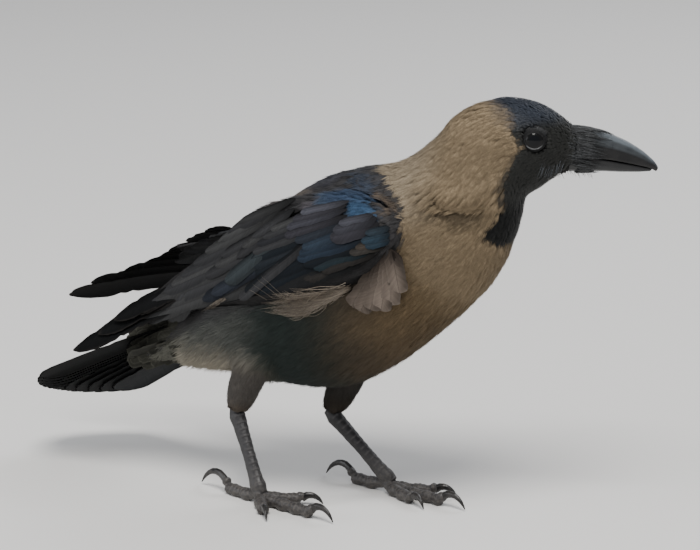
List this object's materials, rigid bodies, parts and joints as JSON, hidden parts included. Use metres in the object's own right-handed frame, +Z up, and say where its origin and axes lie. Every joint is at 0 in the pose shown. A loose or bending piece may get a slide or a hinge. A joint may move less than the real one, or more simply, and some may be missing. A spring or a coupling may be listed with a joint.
{
  "type": "house crow",
  "caption": "Life-size standing crow with grey-brown neck and breast, black face and bib, folded glossy wings, fanned tail and clawed feet.",
  "frame": {"origin": "middle of the base of the box round the whole bird, on the floor that the feet stand on", "axes": "+X from the tail towards the breast, +Y to the bird's left, +Z up; the head is turned 27 degrees to the left"},
  "size_m": [0.34, 0.1098, 0.2124],
  "materials": {
    "plumage": "soft matte feathers, sandy grey-brown on neck and breast, black on face, crown and throat, dark slate on belly",
    "flight_feathers": "black feathers with a blue and purple sheen",
    "bill": "satin black horn",
    "eye": "wet gloss, very dark brown",
    "leg_skin": "dull black scaled skin",
    "claw": "satin black horn"
  },
  "bodies": {
    "root": {"head": "plumage", "neck": "plumage", "trunk": "plumage", "rump": "plumage", "bill_upper": "bill", "bill_lower": "bill", "tail": "flight_feathers", "eye_left": "eye", "wing_left_coverts": "flight_feathers", "wing_left_secondaries": "flight_feathers", "wing_left_primaries": "flight_feathers", "thigh_left": "plumage", "tarsus_left": "leg_skin", "toe_left_middle": "leg_skin", "claw_left_middle": "claw", "toe_left_inner": "leg_skin", "claw_left_inner": "claw", "toe_left_outer": "leg_skin", "claw_left_outer": "claw", "toe_left_hind": "leg_skin", "claw_left_hind": "claw", "eye_right": "eye", "wing_right_coverts": "flight_feathers", "wing_right_secondaries": "flight_feathers", "wing_right_primaries": "flight_feathers", "thigh_right": "plumage", "tarsus_right": "leg_skin", "toe_right_middle": "leg_skin", "claw_right_middle": "claw", "toe_right_inner": "leg_skin", "claw_right_inner": "claw", "toe_right_outer": "leg_skin", "claw_right_outer": "claw", "toe_right_hind": "leg_skin", "claw_right_hind": "claw"}
  },
  "joints": []
}
